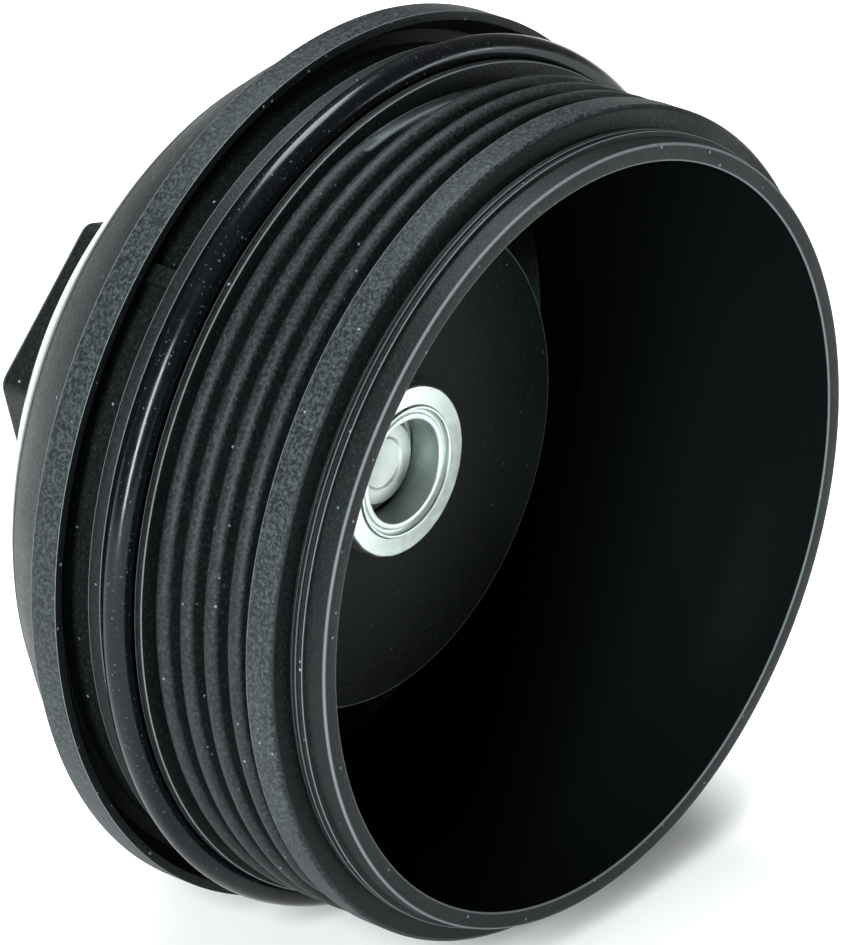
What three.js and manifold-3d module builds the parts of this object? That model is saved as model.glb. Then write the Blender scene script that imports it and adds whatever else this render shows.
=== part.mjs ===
// Oil filter housing cap with a drain plug, in millimetres.
// The cap is drawn upright, +Z towards its open mouth and z = 0 at the front edge of its flange.
// The last lines lay it on its side, mouth towards -Y, as it is screwed into the filter housing.
import * as THREE from "three";
import { mergeVertices } from "three/addons/utils/BufferGeometryUtils.js";
import Module from "manifold-3d";

const wasm = await Module();
wasm.setup();

// ---- Driving dimensions -------------------------------------------------------------------
const gap = 0.3;               // clearance between two pieces that touch
const bite = 0.6;              // how far a joined shape reaches into its neighbour

// mouth and cup
const mouthRadius = 38.0;      // inside of the mouth
const mouthHeight = 28.6;      // rim above the flange
const rimWall = 1.8;
const edgeRound = 0.4;
const cupStraight = 21.7;      // length of the straight wall behind the rim's edge
const cupDraft = 0.4;          // how much narrower the cup is at its foot
const ridgeRise = 0.6;         // fine ridge behind the rim
const ridgeRear = 3.6;         // its rear and front edges, back from the rim
const ridgeFront = 2.2;

// threaded neck
const threadRise = 4.3;        // crests, outside the mouth's radius
const threadDepth = 1.5;
const threadPitch = 3.0;
const threadCrest = 1.4;
const threadFoot = 2.2;
const threadRunOut = 0.2;      // from the thread's ends to the lip and the band
const threadStartFacet = 11.5; // facets round from +X, half a facet off the neck's corners
const bandRise = 0.2;          // plain band in front of the thread, outside its crests
const bandRear = 7.4;          // the band's two edges, back from the rim
const bandFront = 4.2;
const bandChamfer = 0.4;

// seal groove, between a rear lip and a front lip
const sealSection = 3.0;
const grooveWall = 3.6;        // from the mouth's radius to the groove's floor
const grooveRear = 3.2;        // the rear lip's front face, in front of the flange
const grooveSlack = 1.2;       // how much wider the groove is than the seal
const sealSitsForward = 1.1;   // gap behind the seal, which the housing pushes forward
const rearLipInset = 0.2;      // each lip's height inside or below the seal's middle
const rearLipWidth = 1.35;
const frontLipInset = 0.65;
const frontLipWidth = 0.9;

// flange skirt and dome
const flangeWall = 0.85;       // skirt, outside the seal
const flangeWidth = 3.2;
const flangeEdgeWall = 0.9;
const recessDepth = 3.0;       // channel behind the rear lip
const recessWall = 3.8;        // from the mouth's radius to the channel
const recessFloorWidth = 1.4;
const domeStep = 0.75;         // the dome starts this much inside the flange
const domeStartSlope = 30;     // degrees
const domeBulge = 54.2;        // radius of its outline
const domeDepth = 20.5;        // flat rear ring, behind the flange edge
const domeWall = 3.0;
const stopRibAngle = 135;      // small rib across the channel
const stopRibWidth = 1.9;
const stopRibStep = 0.2;       // its top sits this much inside the rear lip

// middle of the cap
const pocketWidth = 12.6;      // from the mouth's radius to the platform
const platformHeight = 2.5;
const platformWall = 3.0;
const hubWall = 3.0;

// hexagon drive
const hexWall = 4.0;           // from the pocket to a flat
const hexEnd = 33.3;           // rear end, behind the flange edge
const hexRound = 1.6;
const hexTurn = 45.5;          // degrees, one corner's place about the axis
const keyRoom = 2.5;           // round the plug's head, for a socket
const webCount = 6;
const webThickness = 2.0;
const webSetBack = 3.5;        // from the rear ring to the webs' ends

// drain bush, moulded into the platform
const bushWaistWall = 1.7;
const bushFlangeRise = 1.05;
const bushRise = 2.3;          // its face above the platform
const bushLength = 16.0;
const bushFlangeWidth = 2.6;
const bushLipReach = 0.88;     // how far the lip stands in over the thread
const bushLipWidth = 3.4;
const bushBeadWall = 0.5;      // from the thread to the bead's crest
const bushBead = 0.35;

// drain plug and its sealing washer
const plugThreadRadius = 5.9;
const plugTipDepth = 2.8;      // tip below the bush's face
const plugTipChamfer = 1.7;
const plugHeadRise = 3.6;
const plugHeadHeight = 7.0;
const plugSocketAcross = 8.0;
const plugSocketDepth = 5.0;
const washerWall = 2.8;
const washerThickness = 1.5;

// facets
const capFacets = 48;
const smallFacets = 32;
const ringFacets = 12;

// ---- Values worked out from them ----------------------------------------------------------
const rimRadius = mouthRadius + rimWall;
const threadRadius = mouthRadius + threadRise;
const threadRoot = threadRadius - threadDepth;
const bandRadius = threadRadius + bandRise;
const grooveFloor = mouthRadius + grooveWall;
const grooveFront = grooveRear + sealSection + grooveSlack;
const sealCentreRadius = grooveFloor + gap + sealSection / 2;
const sealCentreHeight = grooveRear + sealSitsForward + sealSection / 2;
const rearLipRadius = sealCentreRadius - rearLipInset;
const frontLipRadius = sealCentreRadius - frontLipInset;
const frontLipFront = grooveFront + frontLipWidth;
const flangeRadius = sealCentreRadius + sealSection / 2 + flangeWall;
const recessFloorInner = mouthRadius + recessWall;
const recessFloorOuter = recessFloorInner + recessFloorWidth;
const domeStartRadius = flangeRadius - domeStep;
const platformRadius = mouthRadius - pocketWidth;
const webEnd = domeDepth - webSetBack;
const bushFace = platformHeight + bushRise;
const bushEnd = bushFace - bushLength;
const bushThreadRadius = plugThreadRadius + gap;
const bushWaistRadius = bushThreadRadius + bushWaistWall;
const bushFlangeRadius = bushWaistRadius + bushFlangeRise;
const bushLipRadius = bushThreadRadius - bushLipReach;
const bushBeadRadius = bushThreadRadius + bushBeadWall;
const plugTipRadius = plugThreadRadius - plugTipChamfer;
const plugHeadRadius = plugThreadRadius + plugHeadRise;
const washerRadius = bushThreadRadius + washerWall;
const hexPocketRadius = plugHeadRadius + keyRoom;
const hexAcross = 2 * (hexPocketRadius + hexWall);
const washerFront = bushEnd - gap;
const washerRear = washerFront - washerThickness;
const headFront = washerRear - gap;
const headRear = headFront - plugHeadHeight;
const plugTip = bushFace - plugTipDepth;

const radians = THREE.MathUtils.degToRad;
const point = (r, z) => new THREE.Vector2(r, z);

// ---- Helpers ------------------------------------------------------------------------------

// A shaft turned about +Z from an outline of (radius, height) points that runs up from the axis.
function turned(outline, facets) {
  const geometry = new THREE.LatheGeometry(outline, facets);
  geometry.rotateX(Math.PI / 2);
  return geometry;
}

// A ring, whose outline runs up its inside and down its outside and is closed here.
// A lathe faces outwards when its points go up the outside, so they are taken in reverse.
function ring(outline, facets) {
  return turned([...outline, outline[0].clone()].reverse(), facets);
}

// A manifold solid from a closed geometry.
function solid(geometry) {
  const plain = geometry.clone();
  plain.deleteAttribute("normal");
  plain.deleteAttribute("uv");
  const merged = mergeVertices(plain, 1e-4);
  const mesh = new wasm.Mesh({
    numProp: 3,
    vertProperties: Float32Array.from(merged.attributes.position.array),
    triVerts: Uint32Array.from(merged.index.array),
  });
  return new wasm.Manifold(mesh);
}

// A geometry from a manifold solid.
function geometryOf(body) {
  const mesh = body.getMesh();
  const geometry = new THREE.BufferGeometry();
  geometry.setAttribute("position", new THREE.BufferAttribute(mesh.vertProperties, 3));
  geometry.setIndex(new THREE.BufferAttribute(mesh.triVerts, 1));
  geometry.computeVertexNormals();
  return geometry;
}

// Arc points from one angle to another, both included.
function arc(centreR, centreZ, radius, fromDegrees, toDegrees, steps) {
  return Array.from({ length: steps + 1 }, (_, i) => {
    const angle = radians(fromDegrees + ((toDegrees - fromDegrees) * i) / steps);
    return point(centreR + radius * Math.cos(angle), centreZ + radius * Math.sin(angle));
  });
}

// An upright hexagonal prism with rounded corners, one corner at the angle given in degrees.
function hexPrism(across, round, turn, fromZ, toZ) {
  const cornerRadius = (across / 2 - round) / Math.cos(Math.PI / 6);
  const outline = new THREE.Shape();
  for (let i = 0; i < 6; i += 1) {
    const angle = radians(turn + 60 * i);
    const x = cornerRadius * Math.cos(angle);
    const y = cornerRadius * Math.sin(angle);
    outline.absarc(x, y, round, angle - Math.PI / 6, angle + Math.PI / 6, false);
  }
  outline.closePath();
  const depth = toZ - fromZ;
  const geometry = new THREE.ExtrudeGeometry(outline, { depth, bevelEnabled: false, curveSegments: 3 });
  geometry.translate(0, 0, fromZ);
  return geometry;
}

// An upright block that reaches out from the axis at an angle.
function radialBlock(innerR, outerR, thickness, fromZ, toZ, angleDegrees) {
  const geometry = new THREE.BoxGeometry(outerR - innerR, thickness, toZ - fromZ);
  geometry.translate((innerR + outerR) / 2, 0, (fromZ + toZ) / 2);
  geometry.rotateZ(radians(angleDegrees));
  return geometry;
}

// ---- Cap body -----------------------------------------------------------------------------

// The dome's outline is one arc; a wall's thickness inside it is the same arc, smaller.
const domeCentreR = domeStartRadius - domeBulge * Math.cos(radians(domeStartSlope));
const domeCentreZ = -flangeWidth + domeBulge * Math.sin(radians(domeStartSlope));

function domeAngleAtDepth(radius, z) {
  return THREE.MathUtils.radToDeg(Math.asin((z - domeCentreZ) / radius));
}

function domeAngleAtRadius(radius, r) {
  return -THREE.MathUtils.radToDeg(Math.acos((r - domeCentreR) / radius));
}

// The cup's inside, from the drain bush's hole out across the platform and up the wall.
function cupOutline(holeRadius) {
  const inner = domeBulge - domeWall;
  const cupFoot = mouthRadius - cupDraft;
  const floor = -domeDepth + domeWall;
  const floorAngle = domeAngleAtDepth(inner, floor);
  const wallAngle = domeAngleAtRadius(inner, cupFoot);
  return [
    point(holeRadius, platformHeight),
    point(platformRadius - edgeRound, platformHeight),
    point(platformRadius, platformHeight - edgeRound),
    point(platformRadius, floor),
    ...arc(domeCentreR, domeCentreZ, inner, floorAngle, wallAngle, 4),
    point(mouthRadius, mouthHeight - edgeRound - cupStraight),
    point(mouthRadius, mouthHeight - edgeRound),
    point(mouthRadius + edgeRound, mouthHeight),
  ];
}

// The outside, from the rim back along the neck, over the flange and down the dome.
function outsideOutline(holeRadius) {
  const bandFrontZ = mouthHeight - bandFront;
  const trough = platformRadius - hubWall;
  const domeEndAngle = domeAngleAtDepth(domeBulge, -domeDepth);
  return [
    point(rimRadius - edgeRound, mouthHeight),
    point(rimRadius, mouthHeight - edgeRound),
    point(rimRadius, mouthHeight - ridgeFront + edgeRound),
    point(rimRadius + ridgeRise, mouthHeight - ridgeFront),
    point(rimRadius + ridgeRise, mouthHeight - ridgeRear),
    point(rimRadius, mouthHeight - ridgeRear - edgeRound),
    point(rimRadius, bandFrontZ),
    point(bandRadius - bandChamfer, bandFrontZ),
    point(bandRadius, bandFrontZ - bandChamfer),
    point(bandRadius, mouthHeight - bandRear),
    point(threadRoot, mouthHeight - bandRear),
    point(threadRoot, frontLipFront),
    point(frontLipRadius, frontLipFront),
    point(frontLipRadius, grooveFront),
    point(grooveFloor, grooveFront),
    point(grooveFloor, grooveRear),
    point(rearLipRadius, grooveRear),
    point(rearLipRadius, grooveRear - rearLipWidth),
    point(recessFloorInner, grooveRear - rearLipWidth),
    point(recessFloorInner, -recessDepth),
    point(recessFloorOuter, -recessDepth),
    point(flangeRadius - flangeEdgeWall, 0),
    point(flangeRadius, 0),
    point(flangeRadius, -flangeWidth),
    ...arc(domeCentreR, domeCentreZ, domeBulge, -domeStartSlope, domeEndAngle, 7),
    point(trough, -domeDepth),
    point(trough, platformHeight - platformWall),
    point(holeRadius, platformHeight - platformWall),
  ];
}

// One long thread ridge: a straight bar bent round the neck, fading out at both ends.
function threadRidge() {
  const firstHeight = frontLipFront + threadFoot / 2 + threadRunOut;
  const lastHeight = mouthHeight - bandRear - threadFoot / 2 - threadRunOut;
  const steps = Math.round(((lastHeight - firstHeight) / threadPitch) * capFacets);
  const turns = steps / capFacets;
  const startAngle = (threadStartFacet / capFacets) * 2 * Math.PI;
  const fadeTurns = 1 / 12;
  const section = new THREE.Shape([
    new THREE.Vector2(-threadFoot / 2, -bite),
    new THREE.Vector2(threadFoot / 2, -bite),
    new THREE.Vector2(threadCrest / 2, threadDepth),
    new THREE.Vector2(-threadCrest / 2, threadDepth),
  ]);
  const bar = new THREE.ExtrudeGeometry(section, { depth: turns, steps, bevelEnabled: false });
  const place = bar.attributes.position;
  for (let i = 0; i < place.count; i += 1) {
    const turn = place.getZ(i);
    const fade = Math.min(1, 0.2 + (0.8 * Math.min(turn, turns - turn)) / fadeTurns);
    const rise = place.getY(i);
    const radius = threadRoot + (rise > 0 ? rise * fade : rise);
    const angle = startAngle + turn * 2 * Math.PI;
    const height = firstHeight + turn * threadPitch + place.getX(i);
    place.setXYZ(i, radius * Math.cos(angle), radius * Math.sin(angle), height);
  }
  return bar;
}

// The bush's seat, waisted so that the moulding grips it, and the pocket in the hexagon.
function coreOutline() {
  const flangeHole = bushFlangeRadius + gap;
  const waistHole = bushWaistRadius + gap;
  return [
    point(0, -hexEnd - bite),
    point(hexPocketRadius, -hexEnd - bite),
    point(hexPocketRadius, bushEnd),
    point(flangeHole, bushEnd),
    point(flangeHole, bushEnd + bushFlangeWidth + gap),
    point(waistHole, bushEnd + bushFlangeWidth + gap),
    point(waistHole, bushFace - bushFlangeWidth - gap),
    point(flangeHole, bushFace - bushFlangeWidth - gap),
    point(flangeHole, platformHeight + bite),
    point(0, platformHeight + bite),
  ];
}

function capBody() {
  const smallHole = bushWaistRadius - bite;
  let body = solid(ring([...cupOutline(smallHole), ...outsideOutline(smallHole)], capFacets));
  const plateMiddle = platformHeight - platformWall / 2;
  body = body.add(solid(hexPrism(hexAcross, hexRound, hexTurn, -hexEnd, plateMiddle)));
  for (let i = 0; i < webCount; i += 1) {
    const angle = hexTurn + (360 * i) / webCount;
    const outer = platformRadius - hubWall + bite;
    body = body.add(solid(radialBlock(hexAcross / 2 - bite, outer, webThickness, -webEnd, plateMiddle, angle)));
  }
  const ribFront = grooveRear - bite;
  body = body.add(solid(radialBlock(recessFloorInner - bite, rearLipRadius - stopRibStep, stopRibWidth,
    -recessDepth - bite, ribFront, stopRibAngle)));
  body = body.add(solid(threadRidge()));
  return geometryOf(body.subtract(solid(turned(coreOutline(), smallFacets))));
}

// ---- Seal, bush, plug and washer ----------------------------------------------------------

function housingSealRing() {
  const geometry = new THREE.TorusGeometry(sealCentreRadius, sealSection / 2, ringFacets, capFacets);
  geometry.translate(0, 0, sealCentreHeight);
  return geometry;
}

function drainBush() {
  const beadHalf = 0.7;
  const lipRear = bushFace - bushLipWidth;
  const slope = bushThreadRadius - bushLipRadius;
  return ring([
    point(bushThreadRadius, bushEnd),
    point(bushThreadRadius, lipRear - slope),
    point(bushLipRadius, lipRear),
    point(bushLipRadius, bushFace),
    point(bushBeadRadius - beadHalf, bushFace),
    point(bushBeadRadius, bushFace + bushBead),
    point(bushBeadRadius + beadHalf, bushFace),
    point(bushFlangeRadius - edgeRound, bushFace),
    point(bushFlangeRadius, bushFace - edgeRound),
    point(bushFlangeRadius, bushFace - bushFlangeWidth),
    point(bushWaistRadius, bushFace - bushFlangeWidth),
    point(bushWaistRadius, bushEnd + bushFlangeWidth),
    point(bushFlangeRadius, bushEnd + bushFlangeWidth),
    point(bushFlangeRadius, bushEnd),
  ], smallFacets);
}

function drainPlug() {
  const shape = solid(turned([
    point(0, headRear),
    point(plugHeadRadius - edgeRound, headRear),
    point(plugHeadRadius, headRear + edgeRound),
    point(plugHeadRadius, headFront),
    point(plugThreadRadius, headFront),
    point(plugThreadRadius, plugTip - plugTipChamfer),
    point(plugTipRadius, plugTip),
    point(0, plugTip),
  ], smallFacets));
  const socket = hexPrism(plugSocketAcross, edgeRound, hexTurn, headRear - bite, headRear + plugSocketDepth);
  return geometryOf(shape.subtract(solid(socket)));
}

function sealingWasher() {
  const hole = plugThreadRadius + gap;
  return ring([
    point(hole, washerRear),
    point(hole, washerFront),
    point(washerRadius, washerFront),
    point(washerRadius, washerRear),
  ], smallFacets);
}

// ---- Materials ----------------------------------------------------------------------------

const glassFilledNylon = new THREE.MeshStandardMaterial({ color: 0x1d2021, roughness: 0.55, metalness: 0 });
const nitrileRubber = new THREE.MeshStandardMaterial({ color: 0x0f1114, roughness: 0.3, metalness: 0 });
const zincPlatedSteel = new THREE.MeshStandardMaterial({ color: 0xbcc6c3, roughness: 0.35, metalness: 1 });
const plainSteel = new THREE.MeshStandardMaterial({ color: 0xa9aeac, roughness: 0.4, metalness: 1 });
const softAluminium = new THREE.MeshStandardMaterial({ color: 0xc9cccd, roughness: 0.45, metalness: 1 });

// ---- Assembly -----------------------------------------------------------------------------

const oilFilterCap = new THREE.Group();
const pieces = [
  ["cap_body", capBody(), glassFilledNylon],
  ["housing_seal_ring", housingSealRing(), nitrileRubber],
  ["drain_bush", drainBush(), zincPlatedSteel],
  ["drain_plug", drainPlug(), plainSteel],
  ["drain_plug_washer", sealingWasher(), softAluminium],
];
for (const [name, geometry, material] of pieces) {
  const mesh = new THREE.Mesh(geometry, material);
  mesh.name = name;
  oilFilterCap.add(mesh);
}

// On its side: the axis along Y, the mouth towards -Y and the hexagon towards +Y.
oilFilterCap.rotation.x = Math.PI / 2;

export default oilFilterCap;
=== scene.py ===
"""Oil filter housing cap: a moulded screw cap with its seal ring, drain bush, drain plug and washer.

Lengths below are in millimetres unless a property says metres. Every piece is drawn upright, with
the cap's axis up and the mouth on top, and lay() puts it on its side as it sits in the frame.
"""
import math

import bpy
import bmesh
import mathutils
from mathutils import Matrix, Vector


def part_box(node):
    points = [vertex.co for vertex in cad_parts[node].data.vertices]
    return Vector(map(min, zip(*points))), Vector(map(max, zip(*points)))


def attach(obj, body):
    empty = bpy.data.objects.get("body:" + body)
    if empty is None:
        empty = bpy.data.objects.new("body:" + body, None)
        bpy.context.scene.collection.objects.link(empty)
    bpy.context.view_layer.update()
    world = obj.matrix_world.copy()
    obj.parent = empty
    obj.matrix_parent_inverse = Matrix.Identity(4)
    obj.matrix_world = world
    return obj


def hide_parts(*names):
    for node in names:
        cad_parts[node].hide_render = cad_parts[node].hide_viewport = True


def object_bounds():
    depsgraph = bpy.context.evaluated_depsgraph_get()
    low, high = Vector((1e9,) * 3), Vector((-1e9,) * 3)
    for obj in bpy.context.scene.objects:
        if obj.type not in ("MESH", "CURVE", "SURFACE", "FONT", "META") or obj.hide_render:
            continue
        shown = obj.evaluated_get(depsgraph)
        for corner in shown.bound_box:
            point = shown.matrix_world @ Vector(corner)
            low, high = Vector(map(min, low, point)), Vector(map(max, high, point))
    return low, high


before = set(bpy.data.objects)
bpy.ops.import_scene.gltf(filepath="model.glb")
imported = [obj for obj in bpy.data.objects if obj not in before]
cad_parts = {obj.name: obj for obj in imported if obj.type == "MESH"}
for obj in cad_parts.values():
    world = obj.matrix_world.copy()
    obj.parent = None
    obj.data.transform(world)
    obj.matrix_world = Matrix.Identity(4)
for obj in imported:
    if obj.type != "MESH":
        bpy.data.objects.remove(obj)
CAD_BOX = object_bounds()

bl_info = {
    "name": "Oil filter housing cap",
    "version": (1, 0, 0),
    "blender": (4, 5, 0),
    "location": "View3D > Sidebar > Filter Cap",
    "description": "Builds a moulded oil filter housing cap around its fixed frame",
    "category": "Object",
}

MM = 0.001
HEX_TURN = 45.5  # degrees round the axis to a corner of the hexagon
BAND_EDGE, LIP_EDGE = 42.44, 42.6  # radii between which the plain band lies
CUP_RADII = (26.0, 38.02)  # radii between which the cup's polished inside lies, whose colour is painted darker there, as shade
CREST_EDGE = 41.9  # radius outside which the neck's thread is crest
RIB_RADII = (41.4, 43.15)  # radii between which the channel's rib lies
RIB_ANGLE = 135.0  # degrees round the axis to the rib
RIB_SPAN, RIB_HEIGHTS = 1.5, (-4.0, 2.6)  # degrees and heights within which its corners lie
PLAIN_FOLD, HIGHLIGHT_FOLD = 18, 30  # degrees of fold at an edge before and after its painted highlight shows
CREST_TEXTURE = 0.45  # share of the spark-eroded grain that is left on the thread
BODY_LOW, BODY_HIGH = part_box("cap_body")
BUSH_LOW, BUSH_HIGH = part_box("drain_bush")
SEAL_LOW, SEAL_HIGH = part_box("housing_seal_ring")
PLUG_LOW, PLUG_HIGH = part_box("drain_plug")
WASHER_LOW, WASHER_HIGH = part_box("drain_plug_washer")

# Heights above the flange edge, read from the frame. The mouth faces -Y, so a height is -y.
RIM_TOP = -BODY_LOW.y / MM
HEX_END = -BODY_HIGH.y / MM
FLANGE_RADIUS = BODY_HIGH.x / MM
BUSH_TOP = -BUSH_LOW.y / MM
BUSH_FOOT = -BUSH_HIGH.y / MM
BUSH_RADIUS = BUSH_HIGH.x / MM
SEAL_MIDDLE = -(SEAL_LOW.y + SEAL_HIGH.y) / 2 / MM
SEAL_SECTION = (SEAL_HIGH.y - SEAL_LOW.y) / MM
SEAL_OUTSIDE = SEAL_HIGH.x / MM
PLUG_TIP = -PLUG_LOW.y / MM
HEAD_END = -PLUG_HIGH.y / MM
HEAD_RADIUS = PLUG_HIGH.x / MM
WASHER_TOP = -WASHER_LOW.y / MM
WASHER_FOOT = -WASHER_HIGH.y / MM
WASHER_RADIUS = WASHER_HIGH.x / MM


# ---- Sizes and colours that a user would change ---------------------------------------------

def length(name, description, millimetres):
    """A length property, shown in the scene's own unit."""
    return bpy.props.FloatProperty(
        name=name, description=description, default=millimetres * MM, min=0.0,
        subtype="DISTANCE", unit="LENGTH", precision=5)


def hex_colour(code):
    """A hex sRGB colour turned to linear, with alpha."""
    parts = [int(code[i:i + 2], 16) / 255 for i in (1, 3, 5)]
    linear = [c / 12.92 if c <= 0.04045 else ((c + 0.055) / 1.055) ** 2.4 for c in parts]
    return (*linear, 1.0)


def colour(name, description, code):
    """A colour property, given as sRGB hex."""
    return bpy.props.FloatVectorProperty(
        name=name, description=description, default=hex_colour(code), size=4,
        min=0.0, max=1.0, subtype="COLOR")


class FilterCapSizes(bpy.types.PropertyGroup):
    """Sizes of the cap that its frame leaves free."""

    mouth_radius: length("Mouth radius", "Inside radius at the rim", 38.0)
    rim_wall: length("Rim wall", "Wall thickness at the rim", 1.8)
    band_radius: length("Band radius", "Plain band in front of the thread", 42.5)
    thread_radius: length("Thread radius", "Radius over the thread's crests", 42.4)
    thread_depth: length("Thread depth", "From crest to root", 1.7)
    thread_pitch: length("Thread pitch", "From one crest to the next", 3.0)
    hexagon_across: length("Hexagon", "Width across the flats", 32.0)
    pocket_radius: length("Pocket radius", "Round pocket inside the hexagon", 12.0)
    platform_radius: length("Platform radius", "Raised middle of the floor", 25.4)
    plug_thread: length("Plug thread", "Radius over the drain plug's thread", 5.9)
    plug_pitch: length("Plug pitch", "Pitch of the drain plug's thread", 1.5)
    facets: bpy.props.IntProperty(
        name="Facets", description="Steps round the cap", default=288, min=48, max=720)


class FilterCapColours(bpy.types.PropertyGroup):
    """Colours of the cap's finishes."""

    nylon: colour("Nylon", "Moulded glass-filled nylon", "#070909")
    fibre: colour("Fibre", "Fibre ends and dust at the surface", "#6A7678")
    # This colour is a painted highlight: it lightens the moulding's convex edges as if they caught
    # the light.
    edge: colour("Edge", "Edges of the moulding, burnished by handling", "#8C9798")
    rubber: colour("Rubber", "Seal ring", "#050608")
    zinc: colour("Zinc plate", "Drain bush", "#DDE8E4")
    steel: colour("Steel", "Drain plug", "#C9D2CF")
    aluminium: colour("Aluminium", "Sealing washer", "#D3D6D8")
    floor: colour("Floor", "Floor under the cap", "#FAFBFB")


# ---- Mesh tools -----------------------------------------------------------------------------

def lay(radius, angle, height):
    """A point at a radius and angle about the upright axis, laid down with the mouth towards -Y."""
    return (radius * math.cos(angle) * MM, -height * MM, radius * math.sin(angle) * MM)


def rounded(corners, steps=3):
    """An open outline of (radius, height) points from corners (radius, height, rounding)."""
    outline = []
    for i, (r, z, size) in enumerate(corners):
        if size <= 0 or i in (0, len(corners) - 1):
            outline.append((r, z))
            continue
        before, after = corners[i - 1], corners[i + 1]
        to_before = (before[0] - r, before[1] - z)
        to_after = (after[0] - r, after[1] - z)
        reach_before, reach_after = math.hypot(*to_before), math.hypot(*to_after)
        unit_before = [c / reach_before for c in to_before]
        unit_after = [c / reach_after for c in to_after]
        half = math.acos(max(-1, min(1, sum(a * b for a, b in zip(unit_before, unit_after))))) / 2
        cut = min(size / math.tan(half), 0.48 * reach_before, 0.48 * reach_after)
        start = (r + unit_before[0] * cut, z + unit_before[1] * cut)
        end = (r + unit_after[0] * cut, z + unit_after[1] * cut)
        for k in range(steps + 1):
            t = k / steps
            a, b, c = (1 - t) ** 2, 2 * t * (1 - t), t * t
            outline.append((a * start[0] + b * r + c * end[0], a * start[1] + b * z + c * end[1]))
    return outline


def arc(centre, radius, start, end, steps):
    """Points of an arc in the (radius, height) plane, angles in degrees, both ends included."""
    angles = [math.radians(start + (end - start) * k / steps) for k in range(steps + 1)]
    return [(centre[0] + radius * math.cos(a), centre[1] + radius * math.sin(a)) for a in angles]


def mark_edges(sheet):
    """Marks where convex edges get a painted highlight, where the moulding is spark-eroded, and where
    it is matte rather than polished; the polished cup inside is also painted darker, as shade.
    """
    painted_edge_highlight = sheet.verts.layers.float.new("painted_edge_highlight")
    texture = sheet.verts.layers.float.new("texture")
    dull_outside_cup_shade = sheet.verts.layers.float.new("dull_outside_cup_shade")
    low, high = math.radians(PLAIN_FOLD), math.radians(HIGHLIGHT_FOLD)
    for vertex in sheet.verts:
        fold = max(edge.calc_face_angle_signed(0.0) for edge in vertex.link_edges)
        # Convex folds get a painted highlight, growing from the plain fold to the highlight fold.
        vertex[painted_edge_highlight] = max(0.0, min(1.0, (fold - low) / (high - low)))
        radius = math.hypot(vertex.co.x, vertex.co.z) / MM
        height = -vertex.co.y / MM
        on_band = BAND_EDGE < radius < LIP_EDGE and height > THREAD_FRONT - 0.1
        on_ridge = THREAD_REAR < height < THREAD_FRONT and CREST_EDGE < radius < BAND_EDGE
        turn = math.degrees(math.atan2(vertex.co.z, vertex.co.x))
        on_rib = (radius < RIB_RADII[1] and abs(turn - RIB_ANGLE) < RIB_SPAN
                  and RIB_HEIGHTS[0] < height < RIB_HEIGHTS[1])
        if on_ridge or on_rib:
            vertex[painted_edge_highlight] = 0.0
        # The cup's inside is polished, and the material also paints it darker there, as shade, by
        # leaving out the grain and the flecks.
        in_cup = CUP_RADII[0] < radius < CUP_RADII[1] and DOME_END < height < RIM_TOP - 0.2
        vertex[dull_outside_cup_shade] = 0.0 if in_cup else 1.0
        on_flange = radius > FLANGE_RADIUS - 0.06
        vertex[texture] = 1.0 if on_band or on_flange else CREST_TEXTURE * on_ridge


def mesh_object(name, vertices, faces, sharp=32.0):
    """An object at the origin with outward faces, smooth but for its sharp edges."""
    mesh = bpy.data.meshes.new(name)
    mesh.from_pydata(vertices, [], faces)
    sheet = bmesh.new()
    sheet.from_mesh(mesh)
    bmesh.ops.remove_doubles(sheet, verts=sheet.verts, dist=1e-7)
    bmesh.ops.dissolve_degenerate(sheet, edges=sheet.edges, dist=1e-7)
    bmesh.ops.recalc_face_normals(sheet, faces=sheet.faces)
    mark_edges(sheet)
    sheet.to_mesh(mesh)
    sheet.free()
    mesh.validate()
    mesh.shade_smooth()
    mesh.set_sharp_from_angle(angle=math.radians(sharp))
    piece = bpy.data.objects.new(name, mesh)
    bpy.context.collection.objects.link(piece)
    return piece


def skin(columns, turn_label=None):
    """Vertices and faces of a closed tube of columns, each a closed chain of (label, point).

    Neighbouring columns join where their labels agree. turn_label renames a label of the first
    column as the last column knows it, for rows that climb from one turn to the next.
    """
    vertices, chains = [], []
    for column in columns:
        chain = []
        for label, place in column:
            chain.append((label, len(vertices)))
            vertices.append(place)
        chains.append(chain)
    faces = []
    for i, chain in enumerate(chains):
        other = chains[(i + 1) % len(chains)]
        if i == len(chains) - 1 and turn_label:
            other = [(turn_label(label), index) for label, index in other]
        ours, theirs = chain + chain[:1], other + other[:1]
        known = {label for label, _ in theirs}
        shared = {label for label, _ in ours if label in known}
        a = b = 0
        while a < len(ours) - 1:
            next_a = next(k for k in range(a + 1, len(ours)) if ours[k][0] in shared)
            next_b = next(k for k in range(b + 1, len(theirs)) if theirs[k][0] in shared)
            loop = [index for _, index in ours[a:next_a + 1]]
            loop += [index for _, index in reversed(theirs[b:next_b + 1])]
            faces.append(loop)
            a, b = next_a, next_b
    return vertices, faces


def on_outline(entry, angle):
    """A point from an outline entry: (radius, height), or a hexagon's (across, rounding, inset,
    height)."""
    if len(entry) == 2:
        return lay(entry[0], angle, entry[1])
    across, rounding, inset, height = entry
    return lay(hexagon(across, rounding, math.radians(HEX_TURN), angle) - inset, angle, height)


def turned(name, outline, facets, sharp=32.0):
    """A turned piece from an outline: a ring's closes on itself, a shaft's ends on the axis."""
    columns = []
    for i in range(facets):
        angle = 2 * math.pi * i / facets
        columns.append([(k, on_outline(entry, angle)) for k, entry in enumerate(outline)])
    return mesh_object(name, *skin(columns), sharp)


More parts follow.
